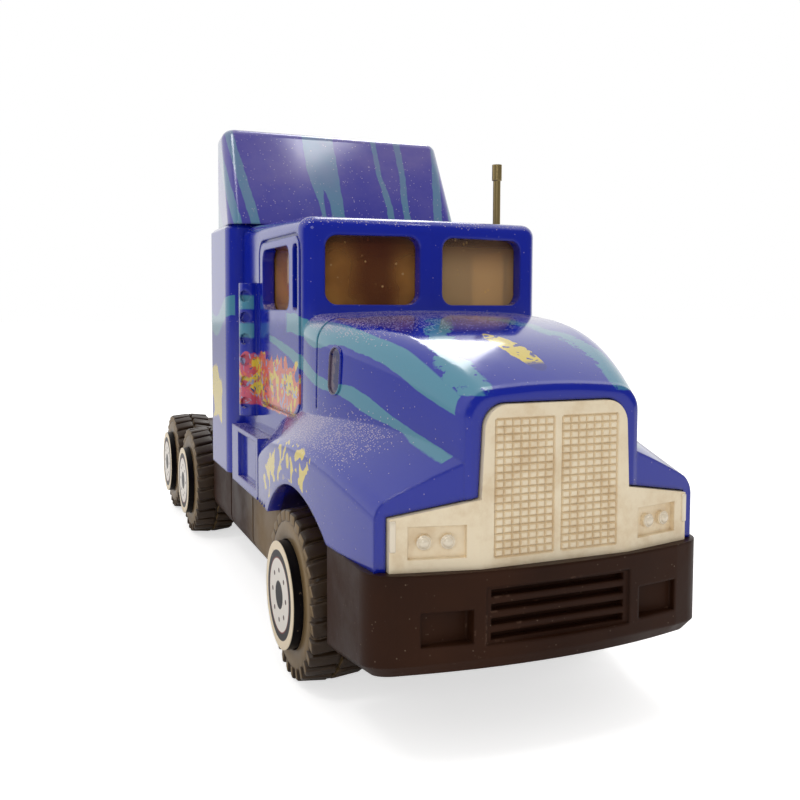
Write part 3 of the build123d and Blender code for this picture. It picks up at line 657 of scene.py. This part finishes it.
# Painted shade: darker towards the top, under the roof's edge
color = mixColor(
    tree, ramp(tree, spot["Height"], pane["shadeFrom"], pane["shadeTo"], 0.0, 0.85), color, amber["deep"],
)
grit = useGroup(tree, dust, Amount=0.02, Scale=3200.0)
feed(tree, mixColor(tree, grit["Mask"], color, amber["fleck"]), shader.inputs["Base Color"])
feed(
    tree,
    ramp(tree, noise(tree, coord, 90.0, 2.0), 0.35, 0.7, amber["roughness"], amber["roughness"] + 0.08),
    shader.inputs["Roughness"],
)
shader.inputs["Transmission Weight"].default_value = amber["transmission"]
shader.inputs["IOR"].default_value = amber["ior"]

brass, tree, shader = newMaterial("brass", (0.40, 0.30, 0.13), 0.35, 0.8)
finishSurface(tree, shader, 2500.0, 0.3, 0.0001)
steel, tree, shader = newMaterial("steel", (0.5, 0.5, 0.5), 0.3, 1.0)
finishSurface(tree, shader, 2500.0, 0.3, 0.0001)

tyreLook = dict(
    dark=(0.018, 0.009, 0.005), worn=(0.060, 0.034, 0.016), tan=(0.25, 0.165, 0.075),
    rubbed=(0.17, 0.11, 0.06), roughness=0.36, specular=0.35,
)
tyrePlastic, tree, shader = newMaterial("tyrePlastic", tyreLook["dark"], tyreLook["roughness"])
shader.inputs["Specular IOR Level"].default_value = tyreLook["specular"]
coord = addNode(tree, "TexCoord").outputs["Object"]
fine, rim = finishSurface(tree, shader, 1800.0, 0.3, 0.00012, 0.5)
color = mixColor(tree, fine["Mottle"], tyreLook["dark"], tyreLook["worn"])
color = mixColor(tree, calc(tree, "MULTIPLY", rim["Mask"], 0.5), color, tyreLook["rubbed"])
# Painted sheen: side-facing walls turn tan, standing in for reflected light on the dark plastic
facing = addNode(tree, "SeparateXYZ")
feed(tree, addNode(tree, "NewGeometry").outputs["Normal"], facing.inputs[0])
sidewallSheen = both(
    tree, ramp(tree, calc(tree, "ABSOLUTE", facing.outputs[0]), 0.8, 0.97),
    ramp(tree, noise(tree, coord, 150.0, 4.0), 0.25, 0.65, 0.55, 0.95),
)
feed(tree, mixColor(tree, sidewallSheen, color, tyreLook["tan"]), shader.inputs["Base Color"])

# Printed hub faces, centred on each axle: (outer radius, color) from the middle out
hubLook = dict(
    rings=((1.15, "black"), (2.98, "white"), (3.08, "red"), (3.66, "black"), (9.0, "cream")),
    black=(0.004, 0.003, 0.004), white=(0.92, 0.86, 0.78), cream=(0.95, 0.80, 0.58), red=(0.22, 0.02, 0.01),
    dotColor=(0.06, 0.012, 0.01),
    dots=8, dotRing=2.05, dotRadius=0.2, roughness=0.3, specular=0.12, scuff=(0.25, 0.18, 0.12),
)


def hubMaterial(name, middle):
    material, tree, shader = newMaterial(name, hubLook["black"], hubLook["roughness"])
    shader.inputs["Specular IOR Level"].default_value = hubLook["specular"]
    shift = addNode(tree, "Mapping", vector_type="POINT")
    feed(tree, addNode(tree, "TexCoord").outputs["Object"], shift.inputs["Vector"])
    shift.inputs["Location"].default_value = (0, -middle[1], -middle[2])
    split = addNode(tree, "SeparateXYZ")
    feed(tree, shift.outputs[0], split.inputs[0])
    flat = [calc(tree, "DIVIDE", split.outputs[axis], mm) for axis in (1, 2)]
    radius = lengthOf(tree, *flat)
    color = hubLook["black"]
    for outer, key in reversed(hubLook["rings"]):
        color = mixColor(tree, above(tree, outer, radius, 0.04), color, hubLook[key])
    turn = calc(tree, "ARCTAN2", flat[1], flat[0])
    sector = calc(tree, "MULTIPLY", calc(tree, "PINGPONG", turn, math.pi / hubLook["dots"]), radius)
    fromDot = lengthOf(tree, sector, calc(tree, "SUBTRACT", radius, hubLook["dotRing"]))
    color = mixColor(tree, above(tree, hubLook["dotRadius"], fromDot, 0.04), color, hubLook["dotColor"])
    outward = calc(tree, "ABSOLUTE", calc(tree, "DIVIDE", split.outputs[0], mm))
    face = above(tree, outward, cadHigh[0] / mm - 0.05, 0.03)
    color = mixColor(tree, face, hubLook["black"], color)
    finishSurface(tree, shader, 1200.0, 0.1, 0.00015, 0.4)
    scuff = ramp(
        tree, noise(tree, addNode(tree, "TexCoord").outputs["Object"], 900.0, 4.0, 0.7), 0.66, 0.72, 0.0,
        0.6,
    )
    feed(tree, mixColor(tree, scuff, color, hubLook["scuff"]), shader.inputs["Base Color"])
    return material


def boxMiddle(name):
    low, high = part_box(name)
    return (Vector(low) + Vector(high)) / 2


paintOf = dict(
    cab_and_hood=cabPaint, sleeper=sleeperPaint, roof_fairing=fairingPaint, grille_insert=palePlastic,
    base=blackPlastic, coupling_plate=blackPlastic, glazing=amberWindow, roof_aerial=brass,
)
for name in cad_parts:
    if name in paintOf:
        dress(name, paintOf[name])
    elif "hub" in name:
        dress(name, hubMaterial(name + "Face", boxMiddle(name)))
    elif "tyre" in name:
        dress(name, tyrePlastic)
    else:
        dress(name, steel)
print("materials done")


# New pieces

def addPiece(name, bm, body, material, smooth=True):
    bmesh.ops.remove_doubles(bm, verts=bm.verts, dist=1e-7)
    bmesh.ops.recalc_face_normals(bm, faces=bm.faces)
    mesh = bpy.data.meshes.new(name)
    bm.to_mesh(mesh)
    bm.free()
    if smooth:
        mesh.polygons.foreach_set("use_smooth", [True] * len(mesh.polygons))
    mesh.materials.append(material)
    piece = bpy.data.objects.new(name, mesh)
    bpy.context.scene.collection.objects.link(piece)
    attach(piece, body)
    return piece


# Lugged tyres: a carcass spun round the axle and two staggered rows of blocks
tyre = dict(
    lugs=28, lugHeight=0.5, lugLength=1.28, lugSlant=9.0, rowGap=0.2, shoulder=0.9, rimLip=0.12, steps=84,
    bevel=0.2, outerDrop=0.22, innerDrop=0.5, outerNarrow=0.85,
)


def tyreMesh(width, radius, bore):
    bm = bmesh.new()
    root = radius - tyre["lugHeight"]
    half = width / 2
    lip = tyre["rimLip"]
    profile = (
        (-half + lip, bore), (-half, bore + lip), (-half, root - tyre["shoulder"]),
        (-half + 0.4 * tyre["shoulder"], root - 0.15),
        (-half + tyre["shoulder"], root), (half - tyre["shoulder"], root),
        (half - 0.4 * tyre["shoulder"], root - 0.15),
        (half, root - tyre["shoulder"]), (half, bore + lip), (half - lip, bore),
    )
    verts = [bm.verts.new((x * mm, 0, r * mm)) for x, r in profile]
    rim = [bm.edges.new((a, b)) for a, b in zip(verts, verts[1:] + verts[:1])]
    bmesh.ops.spin(
        bm, geom=verts + rim, cent=(0, 0, 0), axis=(1, 0, 0), dvec=(0, 0, 0), angle=2 * math.pi,
        steps=tyre["steps"], use_merge=True,
    )
    pitch = 2 * math.pi / tyre["lugs"]
    lugWide = half - tyre["rowGap"] / 2 - 0.05
    for side in (-1, 1):
        block = bmesh.new()
        bmesh.ops.create_cube(block, size=1.0)
        bmesh.ops.scale(
            block, vec=(lugWide * mm, tyre["lugLength"] * mm, 1.5 * tyre["lugHeight"] * mm),
            verts=block.verts,
        )
        # The outer end of each block is drawn down over the shoulder
        for vert in block.verts:
            if vert.co.x * side > 0:
                vert.co.z -= (tyre["outerDrop"] if vert.co.z > 0 else tyre["innerDrop"]) * mm
                vert.co.y *= tyre["outerNarrow"]
        bmesh.ops.bevel(
            block, geom=block.edges[:], offset=tyre["bevel"] * mm, segments=3, profile=0.5, affect="EDGES",
            material=-1,
        )
        bmesh.ops.rotate(
            block, cent=(0, 0, 0), matrix=Matrix.Rotation(math.radians(side * tyre["lugSlant"]), 3, "Z"),
            verts=block.verts,
        )
        lift = radius - 0.75 * tyre["lugHeight"] - 0.02
        middle = side * (tyre["rowGap"] / 2 + lugWide / 2)
        bmesh.ops.translate(block, vec=(middle * mm, 0, lift * mm), verts=block.verts)
        start = pitch / 2 if side > 0 else 0.0
        bmesh.ops.rotate(block, cent=(0, 0, 0), matrix=Matrix.Rotation(start, 3, "X"), verts=block.verts)
        bmesh.ops.spin(
            block, geom=block.verts[:] + block.edges[:] + block.faces[:], cent=(0, 0, 0), axis=(1, 0, 0),
            dvec=(0, 0, 0), angle=2 * math.pi, steps=tyre["lugs"], use_duplicate=True,
        )
        joined = bpy.data.meshes.new("lugs")
        block.to_mesh(joined)
        block.free()
        bm.from_mesh(joined)
        bpy.data.meshes.remove(joined)
    return bm


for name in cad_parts:
    if "tyre" not in name:
        continue
    low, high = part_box(name)
    middle = boxMiddle(name)
    radius = (high[2] - low[2]) / 2 / mm
    hubLow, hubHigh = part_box(name.replace("tyre", "hub"))
    bore = (hubHigh[2] - hubLow[2]) / 2 / mm + 0.02
    bm = tyreMesh((high[0] - low[0]) / mm, radius, bore)
    if middle.x < 0:
        bmesh.ops.rotate(bm, cent=(0, 0, 0), matrix=Matrix.Rotation(math.pi, 3, "Z"), verts=bm.verts)
    bmesh.ops.translate(bm, vec=middle, verts=bm.verts)
    axleName = name.split("_")[0]
    piece = addPiece(name + "_lugged", bm, axleName + "_wheels", tyrePlastic)
    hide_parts(name)
print("tyres done")

# Raised oval rim, laid on each side of the hood
cabMesh = bmesh.new()
cabMesh.from_mesh(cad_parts["cab_and_hood"].data)
cabSkin = BVHTree.FromBMesh(cabMesh)
cabMesh.free()
for side, label in ((-1, "right"), (1, "left")):
    bm = bmesh.new()
    bmesh.ops.create_circle(bm, segments=48, radius=oval["halfWide"])
    bmesh.ops.create_circle(bm, segments=48, radius=oval["halfWide"] - oval["wall"])
    bmesh.ops.bridge_loops(bm, edges=bm.edges[:])
    grown = bmesh.ops.extrude_face_region(bm, geom=bm.faces[:], use_keep_orig=True)["geom"]
    bmesh.ops.translate(
        bm, vec=(0, 0, oval["lift"] + oval["sink"]),
        verts=[item for item in grown if isinstance(item, bmesh.types.BMVert)],
    )
    topEdges = [edge for edge in bm.edges if all(vert.co.z > oval["lift"] for vert in edge.verts)]
    bmesh.ops.bevel(
        bm, geom=topEdges, offset=oval["bevel"], segments=2, profile=0.5, affect="EDGES", material=-1,
    )
    for vert in bm.verts:
        straight = math.copysign(
            oval["halfLong"] - oval["halfWide"], vert.co.y,
        ) if abs(vert.co.y) > 1e-6 else 0.0
        up = vert.co.y + straight
        back = vert.co.x - up * math.tan(math.radians(oval["slant"]))
        place = Vector((side * 0.05, noseY + (oval["station"] + back) * mm, (oval["height"] + up) * mm))
        struck = cabSkin.ray_cast(place, Vector((-side, 0, 0)))[0]
        vert.co = (struck.x + side * (vert.co.z - oval["sink"]) * mm, place.y, place.z)
    addPiece("oval_rim_" + label, bm, "chassis", cabPaint)

# Domed headlamp lenses in their bezels, and a marker bar at the end of each wing
lamp = dict(
    across=(8.1, 9.7), height=15.25, radius=0.5, dome=0.3, bezel=0.09, barAcross=11.78, barHeight=15.75,
    bar=(0.42, 0.24, 2.1), barBevel=0.1, lensSink=0.12, wingStart=7.21, wingStation=1.12, wingSlope=0.204,
)
lampLook = dict(color=(0.95, 0.86, 0.70), roughness=0.07, coat=1.0, coatRoughness=0.03)
lampFinish, tree, shader = newMaterial("lampFinish", lampLook["color"], lampLook["roughness"], 0.1)
shader.inputs["Coat Weight"].default_value = lampLook["coat"]
shader.inputs["Coat Roughness"].default_value = lampLook["coatRoughness"]
fine, _ = finishSurface(tree, shader, 1400.0, 0.05, 0.00005)
feed(
    tree, mixColor(tree, calc(tree, "MULTIPLY", fine["Mottle"], 0.5), lampLook["color"], pale["shade"]),
    shader.inputs["Base Color"],
)


def wingStation(across):
    return lamp["wingStation"] + (across - lamp["wingStart"]) * lamp["wingSlope"]


def layOnWing(bm, side, across, height, sink):
    # The piece is built facing forwards, then turned with the wing and moved to its place
    turned = Matrix.Rotation(side * math.atan(lamp["wingSlope"]), 3, "Z")
    bmesh.ops.scale(bm, vec=(mm, mm, mm), verts=bm.verts)
    bmesh.ops.rotate(bm, cent=(0, 0, 0), matrix=turned, verts=bm.verts)
    bmesh.ops.translate(
        bm, vec=(side * across * mm, noseY + (wingStation(across) + sink) * mm, height * mm),
        verts=bm.verts,
    )


for side, label in ((-1, "right"), (1, "left")):
    for number, across in enumerate(lamp["across"], 1):
        bm = bmesh.new()
        bmesh.ops.create_uvsphere(bm, u_segments=28, v_segments=14, radius=lamp["radius"] - lamp["bezel"])
        bmesh.ops.scale(bm, vec=(1, lamp["dome"] / (lamp["radius"] - lamp["bezel"]), 1), verts=bm.verts)
        section = bmesh.ops.create_circle(bm, segments=10, radius=lamp["bezel"])["verts"]
        bmesh.ops.translate(bm, vec=(lamp["radius"] - lamp["bezel"], 0, 0), verts=section)
        ringEdges = [edge for edge in bm.edges if all(vert in section for vert in edge.verts)]
        bmesh.ops.spin(
            bm, geom=section + ringEdges, cent=(0, 0, 0), axis=(0, 1, 0), dvec=(0, 0, 0), angle=2 * math.pi,
            steps=32, use_merge=True,
        )
        layOnWing(bm, side, across, lamp["height"], lamp["lensSink"])
        addPiece("lamp_lens_" + label + "_" + str(number), bm, "chassis", lampFinish)
    bm = bmesh.new()
    bmesh.ops.create_cube(bm, size=1.0)
    bmesh.ops.scale(bm, vec=lamp["bar"], verts=bm.verts)
    bmesh.ops.bevel(
        bm, geom=bm.edges[:], offset=lamp["barBevel"], segments=3, profile=0.5, affect="EDGES", material=-1,
    )
    layOnWing(bm, side, lamp["barAcross"], lamp["barHeight"], 0.0)
    addPiece("marker_bar_" + label, bm, "chassis", lampFinish)
print("small pieces done")

# Stage: pale floor, plain studio light, dimmer towards the front so that the front keeps its depth of color
stage = dict(
    floorSize=3.0, floorColor=(0.93, 0.92, 0.91), floorLift=0.62,
    glossFront=0.12, softFront=0.60, softBack=0.68,
    keyLamp=0.10, keySize=0.06, keyPlace=(-0.16, -0.09, 0.33),
    frontLamp=0.17, frontSize=0.10, frontPlace=(-0.20, -0.42, 0.20),
    backLamp=0.19, backSize=0.07, backHigh=0.16, backPlace=(0.10, 0.15, 0.272),
    topLamp=0.014, topSize=0.026, topHigh=0.02, topPlace=(0.063, -0.086, 0.246),
)
bm = bmesh.new()
bmesh.ops.create_grid(bm, x_segments=1, y_segments=1, size=stage["floorSize"] / 2)
floorMesh = bpy.data.meshes.new("floor")
bm.to_mesh(floorMesh)
bm.free()
floor = bpy.data.objects.new("floor", floorMesh)
bpy.context.scene.collection.objects.link(floor)
floor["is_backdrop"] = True
floorMaterial, tree, shader = newMaterial("floorPaper", stage["floorColor"], 0.95)
shader.inputs["Specular IOR Level"].default_value = 0.0
floorMesh.materials.append(floorMaterial)
lightPath = addNode(tree, "LightPath")
seen = either(tree, lightPath.outputs["Is Camera Ray"], lightPath.outputs["Is Transmission Ray"])
shader.inputs["Emission Color"].default_value = (1, 1, 1, 1)
feed(tree, calc(tree, "MULTIPLY", seen, stage["floorLift"]), shader.inputs["Emission Strength"])

world = bpy.data.worlds.new("studio")
bpy.context.scene.world = world
world.use_nodes = True
tree = world.node_tree
background = tree.nodes["Background"]
background.inputs["Color"].default_value = (1, 1, 1, 1)
lightPath = addNode(tree, "LightPath")
direction = addNode(tree, "SeparateXYZ")
feed(tree, addNode(tree, "TexCoord").outputs["Generated"], direction.inputs[0])
backward = ramp(
    tree, calc(tree, "ADD", direction.outputs[1], calc(tree, "MULTIPLY", direction.outputs[2], 0.4)), -0.15,
    0.5,
)
soft = ramp(tree, backward, 0, 1, stage["softFront"], stage["softBack"])
gloss = ramp(tree, backward, 0, 1, stage["glossFront"], 1.0)
level = ramp(tree, lightPath.outputs["Is Glossy Ray"], 0, 1, soft, gloss)
seen = either(tree, lightPath.outputs["Is Camera Ray"], lightPath.outputs["Is Transmission Ray"])
feed(tree, ramp(tree, seen, 0, 1, level, 1.0), background.inputs["Strength"])


def addLamp(name, energy, place, target, size, high=None):
    lamp = bpy.data.lights.new(name, "AREA")
    lamp.energy = energy
    lamp.size = size
    if high:
        lamp.shape = "RECTANGLE"
        lamp.size_y = high
    holder = bpy.data.objects.new(name, lamp)
    bpy.context.scene.collection.objects.link(holder)
    holder.location = place
    holder.rotation_euler = (Vector(place) - Vector(target)).to_track_quat("Z", "Y").to_euler()


addLamp("keyLamp", stage["keyLamp"], stage["keyPlace"], (0, -0.02, 0.02), stage["keySize"])
addLamp("frontLamp", stage["frontLamp"], stage["frontPlace"], (0, -0.03, 0.02), stage["frontSize"])
addLamp(
    "backLamp", stage["backLamp"], stage["backPlace"], (0, -0.04, 0.028), stage["backSize"],
    stage["backHigh"],
)
addLamp(
    "topLamp", stage["topLamp"], stage["topPlace"], (-0.001, 0, 0.0485), stage["topSize"], stage["topHigh"],
)

# Camera at the photograph's viewpoint
shot = dict(
    place=(-33.04, -98.71, 30.84), turn=22.345, tilt=-3.236, roll=0.245, lens=40.08, shift=(-0.003, -0.055),
)
camera = bpy.data.objects.new("camera", bpy.data.cameras.new("camera"))
bpy.context.scene.collection.objects.link(camera)
camera.data.lens = shot["lens"]
camera.data.clip_start = 0.002
camera.data.shift_x, camera.data.shift_y = shot["shift"]
turn, tilt, roll = (math.radians(shot[key]) for key in ("turn", "tilt", "roll"))
ahead = Vector((math.sin(turn) * math.cos(tilt), math.cos(turn) * math.cos(tilt), math.sin(tilt)))
right = ahead.cross(Vector((0, 0, 1))).normalized()
up = right.cross(ahead)
across = right * math.cos(roll) + up * math.sin(roll)
cameraTurn = Matrix((across, (-ahead).cross(across), -ahead)).transposed().to_4x4()
camera.matrix_world = Matrix.Translation(Vector(shot["place"]) * mm) @ cameraTurn
bpy.context.scene.camera = camera
bpy.context.scene.view_settings.view_transform = "Standard"

low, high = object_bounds()
